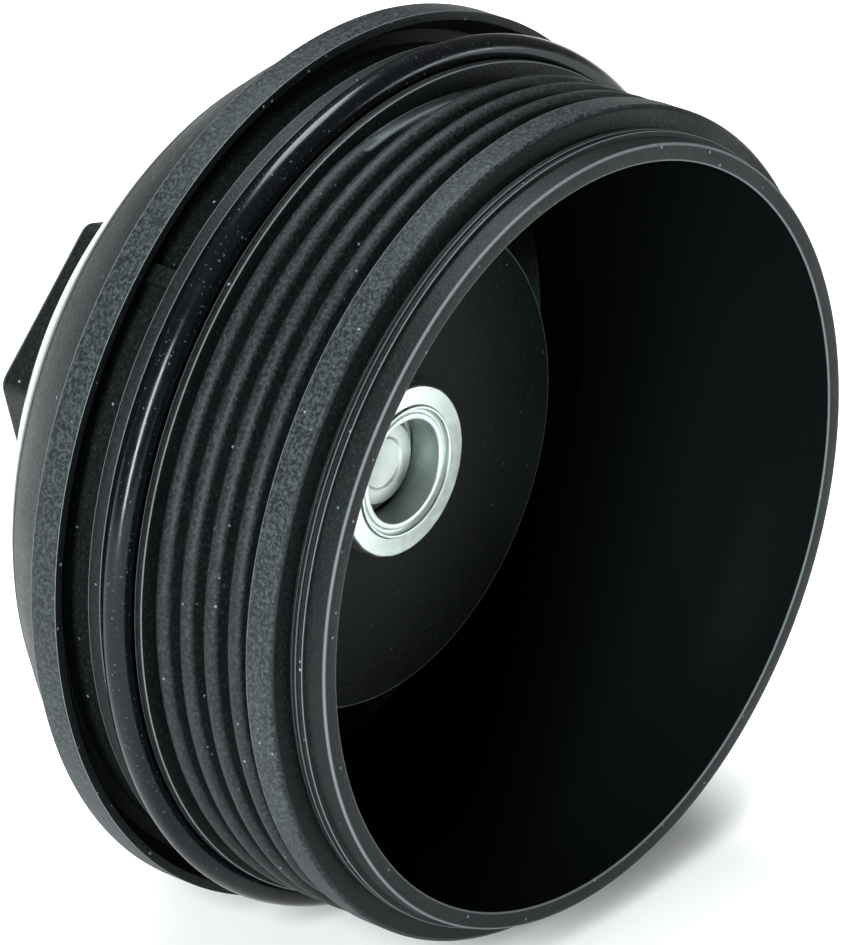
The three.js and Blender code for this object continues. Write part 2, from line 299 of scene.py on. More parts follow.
def hexagon(across, rounding, corner_angle, angle):
    """Radius of a hexagon with rounded corners at an angle."""
    sixth = math.pi / 6
    off = abs((angle - corner_angle + sixth) % (2 * sixth) - sixth)
    centre = (across / 2 - rounding) / math.cos(sixth)
    rounding_ends = math.atan2(rounding * math.sin(sixth), centre + rounding * math.cos(sixth))
    if off > rounding_ends:
        return across / 2 / math.cos(sixth - off)
    return centre * math.cos(off) + math.sqrt(rounding ** 2 - (centre * math.sin(off)) ** 2)


# ---- Materials ------------------------------------------------------------------------------

def add_node(tree, kind, inputs=None, **settings):
    """A node with its settings, its input values and its links."""
    made = tree.nodes.new(kind)
    for key, value in settings.items():
        setattr(made, key, value)
    for key, value in (inputs or {}).items():
        if isinstance(value, bpy.types.NodeSocket):
            tree.links.new(value, made.inputs[key])
        else:
            made.inputs[key].default_value = value
    return made


def finish_material(name, shader_inputs, build):
    """A material whose tree is filled by build, which returns the inputs that it links."""
    made = bpy.data.materials.new(name)
    made.use_nodes = True
    tree = made.node_tree
    tree.nodes.clear()
    place = add_node(tree, "ShaderNodeTexCoord").outputs["Object"]
    shader = add_node(tree, "ShaderNodeBsdfPrincipled", {**shader_inputs, **build(tree, place)})
    add_node(tree, "ShaderNodeOutputMaterial", {"Surface": shader.outputs["BSDF"]})
    return made


RANGE = ("Value", "From Min", "From Max", "To Min", "To Max")
# The mix node's sockets share their names, so they are told apart by their places.
AMOUNT, NUMBER_A, NUMBER_B = 0, 2, 3
TINT_A, TINT_B, TINT_OUT = 6, 7, 2
COOL_SHEEN = (0.84, 0.95, 1.0, 1.0)  # the faint blue-green sheen of carbon-black surfaces


def glass_filled_nylon(colours):
    """Moulded PA66 with glass fibre: nearly black, satin, with fibre ends and a fine moulded grain.

    The grain and the fibre ends are drawn several times coarser than real, so that they show.
    """
    def build(tree, place):
        dull_outside_cup_shade, eroded, painted_edge_highlight = [
            add_node(tree, "ShaderNodeAttribute", attribute_name=name).outputs["Fac"]
            for name in ("dull_outside_cup_shade", "texture", "painted_edge_highlight")]
        grain, flow = [
            add_node(tree, "ShaderNodeTexNoise", {
                "Vector": place, "Scale": 1 / (feature * MM), "Detail": detail,
                "Roughness": roughness}).outputs["Fac"]
            for feature, detail, roughness in ((0.38, 3.0, 0.65), (9.0, 2.0, 0.6))]
        fibre_spacing = 1.3
        cells = add_node(tree, "ShaderNodeTexVoronoi", {
            "Vector": place, "Scale": 1 / (fibre_spacing * MM)})
        fleck, chosen, smooth_grain, rough_grain, edge_highlight_share, satin, streaks, relief = [
            add_node(tree, "ShaderNodeMapRange", dict(zip(RANGE, row))).outputs["Result"]
            for row in (
                (cells.outputs["Distance"], 0.05, 0.14, 1.0, 0.0),
                (cells.outputs["Color"], 0.70, 0.82, 0.0, 1.0),
                (grain, 0.52, 0.70, 0.0, 0.035), (grain, 0.42, 0.66, 0.03, 0.20),
                # painted highlight on convex edges, up to about a third of the edge colour
                (painted_edge_highlight, 0.0, 1.0, 0.0, 0.32),
                (grain, 0.3, 0.7, 0.40, 0.56), (flow, 0.3, 0.7, 0.0, 0.08),
                (dull_outside_cup_shade, 0.0, 1.0, 0.08, 0.7))]
        picked = add_node(tree, "ShaderNodeMath", {0: fleck, 1: chosen}, operation="MULTIPLY")
        # The fibre flecks here and the grain colour below are left out of the cup's polished inside,
        # which paints it darker, as shade.
        flecks = add_node(tree, "ShaderNodeMath", {
            0: picked.outputs[0], 1: dull_outside_cup_shade}, operation="MULTIPLY")
        soft = add_node(tree, "ShaderNodeMix", {
            AMOUNT: eroded, NUMBER_A: smooth_grain, NUMBER_B: rough_grain})
        seen = add_node(tree, "ShaderNodeMath", {0: soft.outputs[0], 1: dull_outside_cup_shade}, operation="MULTIPLY")
        base = tuple(colours.nylon)
        # The second mix paints a highlight along convex edges with the edge colour; the first and
        # third add fibre grain and flecks, which are kept out of the cup as painted shade.
        for amount, tint in ((seen.outputs[0], colours.fibre), (edge_highlight_share, colours.edge),
                             (flecks.outputs[0], colours.fibre)):
            base = add_node(tree, "ShaderNodeMix", {
                AMOUNT: amount, TINT_A: base, TINT_B: tuple(tint)},
                data_type="RGBA").outputs[TINT_OUT]
        moulded = add_node(tree, "ShaderNodeMath", {0: satin, 1: streaks}, operation="ADD")
        polished = 0.16
        rough = add_node(tree, "ShaderNodeMix", {
            AMOUNT: dull_outside_cup_shade, NUMBER_A: polished, NUMBER_B: moulded.outputs[0]})
        bump = add_node(tree, "ShaderNodeBump", {
            "Strength": relief, "Distance": 0.10 * MM, "Height": grain})
        return {"Base Color": base, "Roughness": rough.outputs[0], "Normal": bump.outputs["Normal"]}
    return finish_material("glass_filled_nylon", {
        "IOR": 1.5, "Specular IOR Level": 0.15, "Specular Tint": COOL_SHEEN}, build)


def nitrile_rubber(colours):
    """Moulded nitrile rubber with a film of oil: smooth, black, with a wet highlight."""
    def build(tree, place):
        waves, dust = [
            add_node(tree, "ShaderNodeTexNoise", {
                "Vector": place, "Scale": 1 / (feature * MM), "Detail": 2.0,
                "Roughness": 0.6}).outputs["Fac"]
            for feature in (2.2, 0.35)]
        dusting, rough = [
            add_node(tree, "ShaderNodeMapRange", dict(zip(RANGE, row))).outputs["Result"]
            for row in ((dust, 0.66, 0.78, 0.0, 0.5), (waves, 0.3, 0.7, 0.16, 0.26))]
        base = add_node(tree, "ShaderNodeMix", {
            AMOUNT: dusting, TINT_A: tuple(colours.rubber), TINT_B: tuple(colours.fibre)},
            data_type="RGBA").outputs[TINT_OUT]
        bump = add_node(tree, "ShaderNodeBump", {
            "Strength": 0.25, "Distance": 0.05 * MM, "Height": waves})
        return {"Base Color": base, "Roughness": rough, "Normal": bump.outputs["Normal"]}
    return finish_material("nitrile_rubber", {
        "IOR": 1.52, "Specular IOR Level": 0.2, "Specular Tint": COOL_SHEEN}, build)


WAVE_RINGS = 20  # the wave texture's own factor, in radians per unit


def turned_metal(name, tint, pitch_mm, low_rough, high_rough, ring_depth_mm):
    """Turned metal: fine rings about the axis, drawn coarse enough to show, and a soft cloudiness."""
    def build(tree, place):
        rings = add_node(tree, "ShaderNodeTexWave", {
            "Vector": place, "Scale": math.tau / WAVE_RINGS / (pitch_mm * MM), "Distortion": 0.4,
            "Detail": 1.0}, wave_type="RINGS", rings_direction="Y").outputs["Fac"]
        cloud = add_node(tree, "ShaderNodeTexNoise", {
            "Vector": place, "Scale": 1 / (1.1 * MM), "Detail": 4.0, "Roughness": 0.6,
        }).outputs["Fac"]
        patches, rough = [
            add_node(tree, "ShaderNodeMapRange", dict(zip(RANGE, row))).outputs["Result"]
            for row in ((cloud, 0.25, 0.75, 0.0, 1.0), (cloud, 0.3, 0.7, low_rough, high_rough))]
        darker = tuple(c * 0.80 for c in tint[:3]) + (1.0,)
        base = add_node(tree, "ShaderNodeMix", {
            AMOUNT: patches, TINT_A: darker, TINT_B: tuple(tint)},
            data_type="RGBA").outputs[TINT_OUT]
        bump = add_node(tree, "ShaderNodeBump", {
            "Strength": 0.4, "Distance": ring_depth_mm * MM, "Height": rings})
        return {"Base Color": base, "Roughness": rough, "Normal": bump.outputs["Normal"]}
    return finish_material(name, {"Metallic": 1.0}, build)


def make_materials():
    """Every finish, made once and kept by name."""
    colours = bpy.context.scene.filter_cap_colours
    glass_filled_nylon(colours)
    nitrile_rubber(colours)
    turned_metal("zinc_plated_steel", colours.zinc, 0.30, 0.34, 0.50, 0.006)
    turned_metal("turned_steel", colours.steel, 0.25, 0.34, 0.52, 0.012)
    turned_metal("soft_aluminium", colours.aluminium, 0.35, 0.36, 0.48, 0.01)


def settle(piece, material, body, slot, *nodes):
    """Gives a finished piece its material and its body, and hides the CAD nodes it stands for. The
    slot is not used.
    """
    piece.data.materials.clear()
    piece.data.materials.append(bpy.data.materials[material])
    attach(piece, body)
    if nodes:
        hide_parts(*nodes)


# ---- Geometry Nodes -------------------------------------------------------------------------

def node_group(name, sockets):
    """A geometry node tree with named inputs, and its input and output nodes."""
    tree = bpy.data.node_groups.new(name, "GeometryNodeTree")
    for socket_name, kind, value in sockets:
        socket = tree.interface.new_socket(socket_name, in_out="INPUT", socket_type=kind)
        if value is not None:
            socket.default_value = value
    tree.interface.new_socket("Geometry", in_out="OUTPUT", socket_type="NodeSocketGeometry")
    given = add_node(tree, "NodeGroupInput").outputs
    return tree, given


def close_group(tree, geometry, given):
    """Ends a tree in real geometry with its material."""
    real = add_node(tree, "GeometryNodeRealizeInstances", {"Geometry": geometry})
    coated = add_node(tree, "GeometryNodeSetMaterial", {
        "Geometry": real.outputs["Geometry"], "Material": given["Material"]})
    add_node(tree, "NodeGroupOutput", {"Geometry": coated.outputs["Geometry"]})


def grown(name, tree, values, bevel=0.0):
    """The plain mesh that a tree grows, as an object at the origin."""
    seed = bpy.data.objects.new(name, bpy.data.meshes.new(name))
    bpy.context.collection.objects.link(seed)
    modifier = seed.modifiers.new("Grow", "NODES")
    modifier.node_group = tree
    inputs = {item.name: item.identifier for item in tree.interface.items_tree
              if item.in_out == "INPUT"}
    for key, value in values.items():
        modifier[inputs[key]] = value
    if bevel:
        edge = seed.modifiers.new("Edges", "BEVEL")
        edge.width = bevel
        edge.segments = 3
    evaluated = seed.evaluated_get(bpy.context.evaluated_depsgraph_get())
    mesh = bpy.data.meshes.new_from_object(evaluated)
    seed.modifiers.clear()
    old = seed.data
    seed.data = mesh
    bpy.data.meshes.remove(old)
    mesh.shade_smooth()
    mesh.set_sharp_from_angle(angle=math.radians(35))
    return seed


def lie_down(tree, geometry, height):
    """Turns upright geometry onto its side, as lay() does, and moves it to a height on the axis."""
    raised = add_node(tree, "ShaderNodeCombineXYZ", {"Z": height})
    lifted = add_node(tree, "GeometryNodeTransform", {
        "Geometry": geometry, "Translation": raised.outputs["Vector"]})
    return add_node(tree, "GeometryNodeTransform", {
        "Geometry": lifted.outputs["Geometry"], "Rotation": (math.pi / 2, 0, 0)}).outputs["Geometry"]


def web_tree():
    """Plates standing in a ring about the axis, each pointing outwards."""
    tree, given = node_group("filter_cap_webs", [
        ("Count", "NodeSocketInt", 6), ("Radius", "NodeSocketFloat", 0.02),
        ("Size", "NodeSocketVector", (0.01, 0.002, 0.02)), ("Turn", "NodeSocketFloat", 0.0),
        ("Height", "NodeSocketFloat", 0.0), ("Material", "NodeSocketMaterial", None)])
    ring = add_node(tree, "GeometryNodeMeshCircle", {
        "Vertices": given["Count"], "Radius": given["Radius"]})
    plate = add_node(tree, "GeometryNodeMeshCube", {"Size": given["Size"]})
    outward = add_node(tree, "GeometryNodeInputPosition")
    aim = add_node(tree, "FunctionNodeAlignRotationToVector", {
        "Vector": outward.outputs["Position"]}, axis="X", pivot_axis="Z")
    plates = add_node(tree, "GeometryNodeInstanceOnPoints", {
        "Points": ring.outputs["Mesh"], "Instance": plate.outputs["Mesh"],
        "Rotation": aim.outputs["Rotation"]})
    turn = add_node(tree, "ShaderNodeCombineXYZ", {"Z": given["Turn"]})
    placed = add_node(tree, "GeometryNodeTransform", {
        "Geometry": plates.outputs["Instances"], "Rotation": turn.outputs["Vector"]})
    close_group(tree, lie_down(tree, placed.outputs["Geometry"], given["Height"]), given)
    return tree


def ridge_tree():
    """A screw thread: one trapezoid ridge swept along a spiral that climbs the axis."""
    tree, given = node_group("filter_cap_screw_ridge", [
        ("Turns", "NodeSocketFloat", 8.0), ("Steps", "NodeSocketInt", 48),
        ("Radius", "NodeSocketFloat", 0.005), ("Length", "NodeSocketFloat", 0.012),
        ("Depth", "NodeSocketFloat", 0.001), ("Foot", "NodeSocketFloat", 0.0013),
        ("Crest", "NodeSocketFloat", 0.0004), ("Height", "NodeSocketFloat", 0.0),
        ("Material", "NodeSocketMaterial", None)])
    path = add_node(tree, "GeometryNodeCurveSpiral", {
        "Resolution": given["Steps"], "Rotations": given["Turns"], "Start Radius": given["Radius"],
        "End Radius": given["Radius"], "Height": given["Length"], "Reverse": True})
    upright = add_node(tree, "GeometryNodeSetCurveNormal", {
        "Curve": path.outputs["Curve"]}, mode="Z_UP")
    section = add_node(tree, "GeometryNodeCurvePrimitiveQuadrilateral", {
        "Height": given["Depth"], "Bottom Width": given["Foot"], "Top Width": given["Crest"],
        "Offset": 0.0}, mode="TRAPEZOID")
    sideways = add_node(tree, "GeometryNodeTransform", {
        "Geometry": section.outputs["Curve"], "Rotation": (0, 0, math.pi / 2)})
    ridge = add_node(tree, "GeometryNodeCurveToMesh", {
        "Curve": upright.outputs["Curve"], "Profile Curve": sideways.outputs["Geometry"],
        "Fill Caps": True})
    close_group(tree, lie_down(tree, ridge.outputs["Mesh"], given["Height"]), given)
    return tree


def flash_tree():
    """Small beads of moulding flash, scattered round an edge with a fixed seed."""
    tree, given = node_group("filter_cap_flash", [
        ("Places", "NodeSocketInt", 400), ("Radius", "NodeSocketFloat", 0.038),
        ("Bead", "NodeSocketFloat", 0.0001), ("Patches", "NodeSocketFloat", 90.0),
        ("Height", "NodeSocketFloat", 0.0), ("Seed", "NodeSocketInt", 7),
        ("Material", "NodeSocketMaterial", None)])
    ring = add_node(tree, "GeometryNodeMeshCircle", {
        "Vertices": given["Places"], "Radius": given["Radius"]})
    place = add_node(tree, "GeometryNodeInputPosition")
    patches = add_node(tree, "ShaderNodeTexNoise", {
        "Vector": place.outputs["Position"], "Scale": given["Patches"], "Detail": 2.0})
    ragged = add_node(tree, "FunctionNodeCompare", {
        "A": patches.outputs["Fac"], "B": 0.54}, data_type="FLOAT", operation="GREATER_THAN")
    bead = add_node(tree, "GeometryNodeMeshIcoSphere", {
        "Radius": given["Bead"], "Subdivisions": 2})
    size = add_node(tree, "FunctionNodeRandomValue", {
        "Min": (0.5, 0.8, 0.5), "Max": (1.2, 4.0, 1.5), "Seed": given["Seed"]},
        data_type="FLOAT_VECTOR")
    along = add_node(tree, "FunctionNodeAlignRotationToVector", {
        "Vector": place.outputs["Position"]}, axis="X", pivot_axis="Z")
    beads = add_node(tree, "GeometryNodeInstanceOnPoints", {
        "Points": ring.outputs["Mesh"], "Selection": ragged.outputs["Result"],
        "Instance": bead.outputs["Mesh"], "Rotation": along.outputs["Rotation"],
        "Scale": size.outputs["Value"]})
    close_group(tree, lie_down(tree, beads.outputs["Instances"], given["Height"]), given)
    return tree


# ---- The cap's own outline ------------------------------------------------------------------

FLANGE_REAR, FLANGE_STEP = -3.2, 0.75
# The dome's outline is an arc that starts behind the flange's step with this slope in degrees.
DOME_SLOPE = 30
DOME_OUTSIDE, DOME_INSIDE = 54.2, 51.2
DOME_CENTRE = (FLANGE_RADIUS - FLANGE_STEP - DOME_OUTSIDE * math.cos(math.radians(DOME_SLOPE)),
               FLANGE_REAR + DOME_OUTSIDE * math.sin(math.radians(DOME_SLOPE)))
DOME_END = -20.5
WITNESS_LINE = -12.0  # fine line round the dome where two parts of the mould met
TROUGH_FLOOR = -0.5
PLATFORM = 2.5
LIP_FRONT, GROOVE_FRONT, GROOVE_REAR = 8.3, 7.4, 3.2
THREAD_FRONT, THREAD_REAR = RIM_TOP - 7.4, LIP_FRONT
THREAD_FOOT = 1.1  # half the ridge's width at its root
# (distance from the crest's middle, share of the depth), from the front foot to the rear foot
THREAD_SHAPE = ((1.1, 0.0), (1.0, 0.12), (0.86, 0.62), (0.72, 0.82), (0.45, 0.95), (0.0, 1.0),
                (-0.40, 0.97), (-0.66, 0.86), (-0.80, 0.68), (-0.98, 0.12), (-1.1, 0.0))


def front_outline(sizes):
    """The outside from halfway up the cup's wall over the rim to the front of the thread."""
    mouth, rim = sizes.mouth_radius / MM, (sizes.mouth_radius + sizes.rim_wall) / MM
    band, root = sizes.band_radius / MM, (sizes.thread_radius - sizes.thread_depth) / MM
    return rounded([
        (mouth, RIM_TOP - 14.0, 0), (mouth, RIM_TOP, 0.22), (rim, RIM_TOP, 0.30),
        (rim + 0.1, RIM_TOP - 2.1, 0.06),
        # a narrow bead and a wider one, with a shallow groove between them
        (rim + 0.1, RIM_TOP - 2.15, 0.06), (rim + 0.6, RIM_TOP - 2.25, 0.12),
        (rim + 0.6, RIM_TOP - 2.6, 0.12), (rim + 0.35, RIM_TOP - 2.75, 0.08),
        (rim + 0.35, RIM_TOP - 2.95, 0.08), (rim + 0.6, RIM_TOP - 3.05, 0.14),
        (rim + 0.6, RIM_TOP - 3.6, 0.14), (rim + 0.05, RIM_TOP - 3.7, 0.06),
        (rim, RIM_TOP - 4.2, 0.10), (band - 0.4, RIM_TOP - 4.2, 0.08),
        (band, RIM_TOP - 4.6, 0.14), (band, THREAD_FRONT, 0.16), (root, THREAD_FRONT, 0)])


def dome_arc(radius, start, end_height, steps):
    """The dome's arc, from a start angle to a height behind the flange."""
    end = math.degrees(math.asin((end_height - DOME_CENTRE[1]) / radius))
    return arc(DOME_CENTRE, radius, start, end, steps)


def rear_outline(sizes):
    """From the rear of the thread over the seal groove and the flange, round the hexagon, through
    the bush's seat, and out over the floor to the cup's wall."""
    mouth, platform = sizes.mouth_radius / MM, sizes.platform_radius / MM
    root = (sizes.thread_radius - sizes.thread_depth) / MM
    flange, pocket, across = FLANGE_RADIUS, sizes.pocket_radius / MM, sizes.hexagon_across / MM
    seat = BUSH_RADIUS + 0.05
    inner_start = -math.degrees(math.acos((mouth - 0.4 - DOME_CENTRE[0]) / DOME_INSIDE))
    groove = rounded([
        (root, LIP_FRONT, 0), (SEAL_OUTSIDE - 2.15, LIP_FRONT, 0.14),
        (SEAL_OUTSIDE - 2.15, GROOVE_FRONT, 0.14), (SEAL_OUTSIDE - 3.3, GROOVE_FRONT, 0.1),
        (SEAL_OUTSIDE - 3.3, GROOVE_REAR, 0.1), (SEAL_OUTSIDE - 1.95, GROOVE_REAR, 0.1),
        (SEAL_OUTSIDE - 1.7, GROOVE_REAR - 1.35, 0.12), (mouth + 3.8, GROOVE_REAR - 1.35, 0.1),
        (mouth + 3.8, -3.0, 0.12), (mouth + 5.2, -3.0, 0.12), (flange - 0.9, 0.0, 0.12),
        (flange, 0.0, 0.07), (flange, FLANGE_REAR, 0.17), (flange - FLANGE_STEP, FLANGE_REAR, 0.06)])
    dome = dome_arc(DOME_OUTSIDE, -DOME_SLOPE, WITNESS_LINE, 12)
    witness = dome[-1]
    dome += [(witness[0] + 0.05, witness[1] - 0.02), (witness[0] + 0.06, witness[1] - 0.10),
             (witness[0] - 0.04, witness[1] - 0.22)]
    after = math.degrees(math.asin((WITNESS_LINE - 0.6 - DOME_CENTRE[1]) / DOME_OUTSIDE))
    dome += dome_arc(DOME_OUTSIDE, after, DOME_END, 14)
    trough = platform - 3.0
    back = rounded([
        (dome[-1][0] - 0.3, DOME_END, 0), (trough, DOME_END, 0.5), (trough, TROUGH_FLOOR, 0.6),
        (trough - 1.5, TROUGH_FLOOR, 0)])
    round_corner = 1.6
    drive = [(across, round_corner, inset, z) for inset, z in rounded([
        (-1.0, TROUGH_FLOOR, 0), (0.0, TROUGH_FLOOR, 0.5), (0.0, HEX_END, 0.45), (1.2, HEX_END, 0)])]
    seat_way = rounded([
        (pocket + 1.2, HEX_END, 0), (pocket, HEX_END, 0.4), (pocket, BUSH_FOOT, 0.3),
        (seat, BUSH_FOOT, 0.05), (seat, BUSH_FOOT + 2.7, 0.05), (seat - 1.0, BUSH_FOOT + 2.7, 0.05),
        (seat - 1.0, PLATFORM - 0.4, 0.05), (seat, PLATFORM - 0.4, 0.05), (seat, PLATFORM, 0.1),
        (platform, PLATFORM, 0.3), (platform, DOME_END + 3.0, 0.8),
        (platform + 2.0, DOME_END + 3.0, 0)])
    inside = dome_arc(DOME_INSIDE, inner_start, DOME_END + 3.0, 18)[::-1]
    return groove + dome + back + drive + seat_way + inside + [(mouth, RIM_TOP - 22.1)]


def thread_rows(sizes, angle):
    """The thread's points at an angle, front to rear: a right-handed ridge that fades at its ends.

    A row's label is (turn, place on the ridge); a row climbs one pitch as the angle goes round.
    """
    pitch, depth = sizes.thread_pitch / MM, sizes.thread_depth / MM
    root = sizes.thread_radius / MM - depth
    first_crest = 8.87  # height of a crest at angle 0
    low, high = THREAD_REAR + THREAD_FOOT + 0.15, THREAD_FRONT - THREAD_FOOT - 0.15
    fade_height = 0.25
    rows = []
    more_than_fit = range(6, -4, -1)
    for turn in more_than_fit:
        crest = first_crest + pitch * (turn + angle / math.tau)
        fade = max(0.0, min(1.0, (crest - low) / fade_height, (high - crest) / fade_height))
        for place, (offset, share) in enumerate(THREAD_SHAPE):
            height = crest + offset
            if THREAD_REAR + 0.02 < height < THREAD_FRONT - 0.02:
                rows.append(((turn, place), lay(root + depth * share * fade, angle, height)))
    return rows


def stop_rib():
    """Corner points and faces of the small sloped rib across the channel behind the rear lip."""
    middle, half_width = math.radians(RIB_ANGLE), 0.95
    corners = []
    inner, outer = RIB_RADII
    for r, low, high in ((inner, -3.4, 2.4), (outer - 0.25, -3.4, 2.1), (outer - 0.05, -3.4, -1.6)):
        half = half_width / r
        corners += [lay(r, middle + s * half, z) for z in (low, high) for s in (-1, 1)]
    faces = [(0, 1, 3, 2), (8, 10, 11, 9), (2, 3, 7, 6), (6, 7, 11, 10), (0, 4, 5, 1),
             (4, 8, 9, 5), (0, 2, 6, 4), (4, 6, 10, 8), (1, 5, 7, 3), (5, 9, 11, 7)]
    return corners, faces


# ---- Operators ------------------------------------------------------------------------------

class FILTERCAP_OT_finishes(bpy.types.Operator):
    """Make the finishes that the pieces share"""
    bl_idname = "filter_cap.finishes"
    bl_label = "Finishes"

    def execute(self, context):
        make_materials()
        return {"FINISHED"}


class FILTERCAP_OT_moulding(bpy.types.Operator):
    """Mould the cap: rim, thread, seal groove, flange, dome, hexagon and floor"""
    bl_idname = "filter_cap.moulding"
    bl_label = "Cap moulding"

    def execute(self, context):
        sizes = context.scene.filter_cap_sizes
        front, rear = front_outline(sizes), rear_outline(sizes)
        columns = []
        for i in range(sizes.facets):
            angle = math.tau * i / sizes.facets
            column = [(("front", k), on_outline(entry, angle)) for k, entry in enumerate(front)]
            column += thread_rows(sizes, angle)
            column += [(("rear", k), on_outline(entry, angle)) for k, entry in enumerate(rear)]
            columns.append(column)

        def one_turn_on(label):
            return (label[0] - 1, label[1]) if isinstance(label[0], int) else label

        vertices, faces = skin(columns, one_turn_on)
        rib_corners, rib_faces = stop_rib()
        first = len(vertices)
        vertices += rib_corners
        faces += [tuple(first + n for n in face) for face in rib_faces]
        piece = mesh_object("cap_moulding", vertices, faces)
        settle(piece, "glass_filled_nylon", "cap", "cap_plastic", "cap_body")
        return {"FINISHED"}


class FILTERCAP_OT_webs(bpy.types.Operator):
    """Stand the six webs between the hexagon and the hub"""
    bl_idname = "filter_cap.webs"
    bl_label = "Hexagon webs"

    def execute(self, context):
        sizes = context.scene.filter_cap_sizes
        inner, outer = sizes.hexagon_across / 2 + 1.2 * MM, sizes.platform_radius - 2.6 * MM
        low, high = DOME_END + 3.5, TROUGH_FLOOR + 0.6
        piece = grown("hexagon_webs", web_tree(), {
            "Count": 6, "Radius": (inner + outer) / 2, "Turn": math.radians(HEX_TURN),
            "Size": (outer - inner, 2.0 * MM, (high - low) * MM),
            "Height": (low + high) / 2 * MM, "Material": bpy.data.materials["glass_filled_nylon"],
        }, bevel=0.25 * MM)
        settle(piece, "glass_filled_nylon", "cap", "cap_plastic")
        return {"FINISHED"}


class FILTERCAP_OT_flash(bpy.types.Operator):
    """Scatter the beads of moulding flash inside the rim"""
    bl_idname = "filter_cap.flash"
    bl_label = "Moulding flash"

    def execute(self, context):
        sizes = context.scene.filter_cap_sizes
        piece = grown("rim_flash", flash_tree(), {
            "Places": 900, "Radius": sizes.mouth_radius + 0.08 * MM, "Bead": 0.075 * MM,
            "Height": (RIM_TOP - 0.2) * MM, "Seed": 7,
            "Material": bpy.data.materials["glass_filled_nylon"]})
        settle(piece, "glass_filled_nylon", "cap", "cap_plastic")
        return {"FINISHED"}


class FILTERCAP_OT_seal(bpy.types.Operator):
    """Fit the round seal ring in its groove"""
    bl_idname = "filter_cap.seal"
    bl_label = "Seal ring"

    def execute(self, context):
        half, parting, steps = SEAL_SECTION / 2, 0.03, 32
        outline = []
        for k in range(steps):
            turn = math.tau * k / steps
            # the mould's parting line stands a little proud, inside and outside
            reach = half if k % (steps // 2) == 0 else half - parting
            outline.append((SEAL_OUTSIDE - half + reach * math.cos(turn),
                            SEAL_MIDDLE + reach * math.sin(turn)))
        piece = turned("seal_ring", outline, context.scene.filter_cap_sizes.facets, sharp=60.0)
        settle(piece, "nitrile_rubber", "cap", "seal_rubber", "housing_seal_ring")
        return {"FINISHED"}


class FILTERCAP_OT_bush(bpy.types.Operator):
    """Turn the drain bush, with its beaded lip and its waist"""
    bl_idname = "filter_cap.bush"
    bl_label = "Drain bush"

    def execute(self, context):
        sizes = context.scene.filter_cap_sizes
        top, foot, outer = BUSH_TOP, BUSH_FOOT, BUSH_RADIUS - 0.02
        thread, waist = sizes.plug_thread / MM + 0.3, BUSH_RADIUS - 1.05
        face = top - 0.35
        piece = turned("bush_turning", rounded([
            (thread, -4.0, 0), (thread, face - 4.28, 0.1), (5.34, face - 3.4, 0.15),
            # the bead that rolls over into the bore, then a groove and a fine raised ring
            (5.32, face + 0.02, 0.42), (6.02, face + 0.02, 0.3), (6.08, face - 0.28, 0.05),
            (6.40, face - 0.28, 0.05), (6.44, face + 0.1, 0.05), (6.56, face + 0.3, 0.1),
            (6.80, face + 0.3, 0.09), (6.95, face, 0.06), (outer - 0.18, face, 0.12),
            (outer, face - 0.2, 0.12), (outer, face - 2.6, 0.1), (waist, face - 2.6, 0.1),
            (waist, foot + 2.6, 0.1), (outer, foot + 2.6, 0.1), (outer, foot, 0.15),
            (thread + 0.35, foot, 0.1), (thread, foot + 0.35, 0.1), (thread, -4.1, 0),
        ]), facets=128)
        settle(piece, "zinc_plated_steel", "cap", "plated_steel", "drain_bush")
        return {"FINISHED"}


class FILTERCAP_OT_plug(bpy.types.Operator):
    """Turn the drain plug, with its hexagon socket, and wind its thread"""
    bl_idname = "filter_cap.plug"
    bl_label = "Drain plug"

    def execute(self, context):
        sizes = context.scene.filter_cap_sizes
        crest, depth = sizes.plug_thread / MM, 0.92
        core, tip, head, end = crest - depth, PLUG_TIP, WASHER_FOOT - 0.3, HEAD_END
        socket, socket_round = 8.0, 0.4
        shaft = rounded([
            (0.0, tip - 0.3, 0), (2.5, tip - 0.2, 0.2), (2.8, tip, 0.1), (4.2, tip, 0.15),
            (core, tip - 0.9, 0.15), (core, -10.9, 0.2), (crest, -11.6, 0.1), (crest, head, 0.15),
            (HEAD_RADIUS, head, 0.2), (HEAD_RADIUS, end, 0.5), (5.4, end, 0)])
        key = [(socket, socket_round, inset, z) for inset, z in rounded([
            (-0.7, end, 0), (0.0, end + 0.5, 0.1), (0.0, end + 5.0, 0)])]
        outline = shaft + key + [(0.0, end + 6.2)]
        piece = turned("plug_turning", outline, facets=144)
        settle(piece, "turned_steel", "plug", "plug_steel", "drain_plug")
        thread_foot, sunk = -10.6, 0.1
        climb = tip - 1.2 - thread_foot
        ridge = grown("plug_thread", ridge_tree(), {
            "Turns": climb / (sizes.plug_pitch / MM), "Steps": 48,
            "Radius": (core - sunk + crest) / 2 * MM, "Length": climb * MM,
            "Depth": (depth + sunk) * MM, "Foot": 1.35 * MM, "Crest": 0.3 * MM,
            "Height": thread_foot * MM,
            "Material": bpy.data.materials["turned_steel"]})
        settle(ridge, "turned_steel", "plug", "plug_steel")
        return {"FINISHED"}


class FILTERCAP_OT_washer(bpy.types.Operator):
    """Turn the soft sealing washer under the plug's head"""
    bl_idname = "filter_cap.washer"
    bl_label = "Sealing washer"

    def execute(self, context):
        hole = context.scene.filter_cap_sizes.plug_thread / MM + 0.3
        middle = (WASHER_TOP + WASHER_FOOT) / 2
        piece = turned("washer_turning", rounded([
            (hole, middle, 0), (hole, WASHER_TOP, 0.12), (WASHER_RADIUS, WASHER_TOP, 0.3),
            (WASHER_RADIUS, WASHER_FOOT, 0.3), (hole, WASHER_FOOT, 0.12), (hole, middle - 0.05, 0),
        ]), facets=128)
        settle(piece, "soft_aluminium", "washer", "washer_metal", "drain_plug_washer")
        return {"FINISHED"}


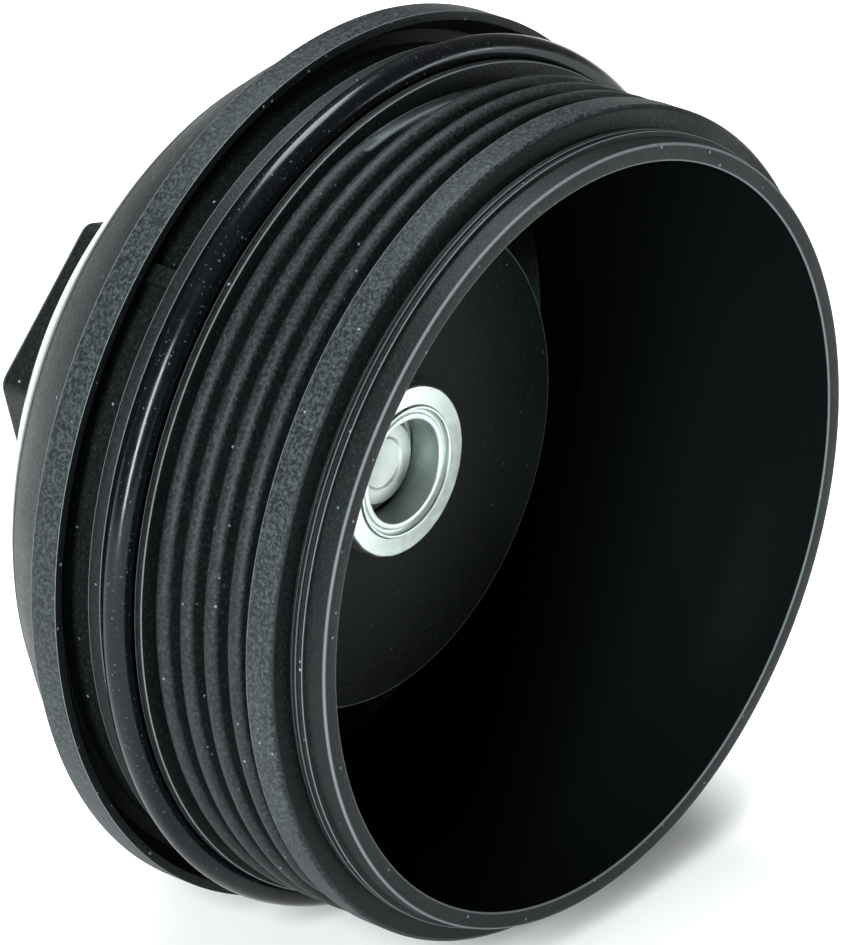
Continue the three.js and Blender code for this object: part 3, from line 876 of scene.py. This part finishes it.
class FILTERCAP_OT_stage(bpy.types.Operator):
    """Lay the floor, hang the soft lights and place the camera"""
    bl_idname = "filter_cap.stage"
    bl_label = "Stage"

    def execute(self, context):
        lay_floor(context.scene.filter_cap_colours)
        hang_lights()
        place_camera()
        return {"FINISHED"}


# ---- Stage ----------------------------------------------------------------------------------

def lay_floor(colours):
    """A plain pale floor under the flange's lowest point."""
    low, _ = CAD_BOX
    half = 6.0
    mesh = bpy.data.meshes.new("floor")
    corners = [(-half, -half), (half, -half), (half, half), (-half, half)]
    mesh.from_pydata([(x, y, low[2]) for x, y in corners], [], [(0, 1, 2, 3)])
    floor = bpy.data.objects.new("floor", mesh)
    bpy.context.collection.objects.link(floor)

    def build(tree, place):
        grain = add_node(tree, "ShaderNodeTexNoise", {
            "Vector": place, "Scale": 1 / (40.0 * MM), "Detail": 2.0, "Roughness": 0.6,
        }).outputs["Fac"]
        tint = tuple(colours.floor)
        darker = tuple(c * 0.985 for c in tint[:3]) + (1.0,)
        mottled = add_node(tree, "ShaderNodeMix", {
            AMOUNT: grain, TINT_A: darker, TINT_B: tint}, data_type="RGBA")
        return {"Base Color": mottled.outputs[TINT_OUT]}

    floor.data.materials.append(finish_material("painted_board", {"Roughness": 0.9}, build))


ROOM_TINT, ROOM_STRENGTH = (0.96, 0.98, 1.0, 1.0), 0.22
LAMP_TINT = (0.97, 0.99, 1.0)


def hang_lights():
    """A white room, a strip light on the left, a faint low one on the right and one overhead."""
    world = bpy.data.worlds.new("white_room")
    world.use_nodes = True
    world.node_tree.nodes["Background"].inputs["Color"].default_value = ROOM_TINT
    world.node_tree.nodes["Background"].inputs["Strength"].default_value = ROOM_STRENGTH
    bpy.context.scene.world = world
    bpy.context.scene.view_settings.view_transform = "Standard"
    # name, place, width, height, power in watts, all aimed at the cap
    lights = (("key", (-0.92, -0.34, 0.34), 0.20, 0.70, 27.0),
              ("low", (0.75, -0.70, 0.04), 0.30, 0.16, 1.6),
              ("top", (0.30, 0.50, 1.80), 1.00, 1.00, 62.0))
    for name, place, width, height, power in lights:
        lamp = bpy.data.lights.new(name, "AREA")
        lamp.shape = "RECTANGLE"
        lamp.size, lamp.size_y, lamp.energy = width, height, power
        lamp.color = LAMP_TINT
        light = bpy.data.objects.new(name, lamp)
        light.location = place
        light.rotation_euler = (-mathutils.Vector(place)).to_track_quat("-Z", "Y").to_euler()
        bpy.context.collection.objects.link(light)


def place_camera():
    """The camera, left of the mouth and a little above it."""
    camera_data = bpy.data.cameras.new("camera")
    camera_data.sensor_width = 36.0
    camera_data.lens = 266.67
    camera = bpy.data.objects.new("camera", camera_data)
    right = mathutils.Vector((0.6444, -0.7647, 0.0))
    down = mathutils.Vector((-0.3320, -0.2798, -0.9008))
    ahead = mathutils.Vector((0.6888, 0.5805, -0.4342))
    mouth = mathutils.Vector((0.0, -RIM_TOP, 0.0))
    mouth_right, mouth_down, mouth_ahead = 16.534, 6.574, 679.277  # of the camera
    place = mouth - (mouth_right * right + mouth_down * down + mouth_ahead * ahead)
    camera.location = place * MM
    camera.rotation_euler = ahead.to_track_quat("-Z", "Y").to_euler()
    camera_data.clip_start, camera_data.clip_end = 0.05, 20.0
    bpy.context.collection.objects.link(camera)
    bpy.context.scene.camera = camera


# ---- Panel and start ------------------------------------------------------------------------

STEPS = (FILTERCAP_OT_finishes, FILTERCAP_OT_moulding, FILTERCAP_OT_webs, FILTERCAP_OT_flash,
         FILTERCAP_OT_seal, FILTERCAP_OT_bush, FILTERCAP_OT_plug, FILTERCAP_OT_washer,
         FILTERCAP_OT_stage)


class FILTERCAP_PT_panel(bpy.types.Panel):
    """Sizes, colours and steps of the cap"""
    bl_idname = "FILTERCAP_PT_panel"
    bl_label = "Filter Cap"
    bl_space_type = "VIEW_3D"
    bl_region_type = "UI"
    bl_category = "Filter Cap"

    def draw(self, context):
        for group in (context.scene.filter_cap_sizes, context.scene.filter_cap_colours):
            box = self.layout.box()
            for key in group.bl_rna.properties.keys():
                if key not in ("rna_type", "name"):
                    box.prop(group, key)
        for step in STEPS:
            self.layout.operator(step.bl_idname)


CLASSES = (FilterCapSizes, FilterCapColours, *STEPS, FILTERCAP_PT_panel)


def register():
    for made in CLASSES:
        bpy.utils.register_class(made)
    bpy.types.Scene.filter_cap_sizes = bpy.props.PointerProperty(type=FilterCapSizes)
    bpy.types.Scene.filter_cap_colours = bpy.props.PointerProperty(type=FilterCapColours)


def unregister():
    del bpy.types.Scene.filter_cap_colours
    del bpy.types.Scene.filter_cap_sizes
    for made in reversed(CLASSES):
        bpy.utils.unregister_class(made)


def main():
    register()
    for step in STEPS:
        getattr(bpy.ops.filter_cap, step.bl_idname.split(".")[1])()


if __name__ == "__main__":
    main()
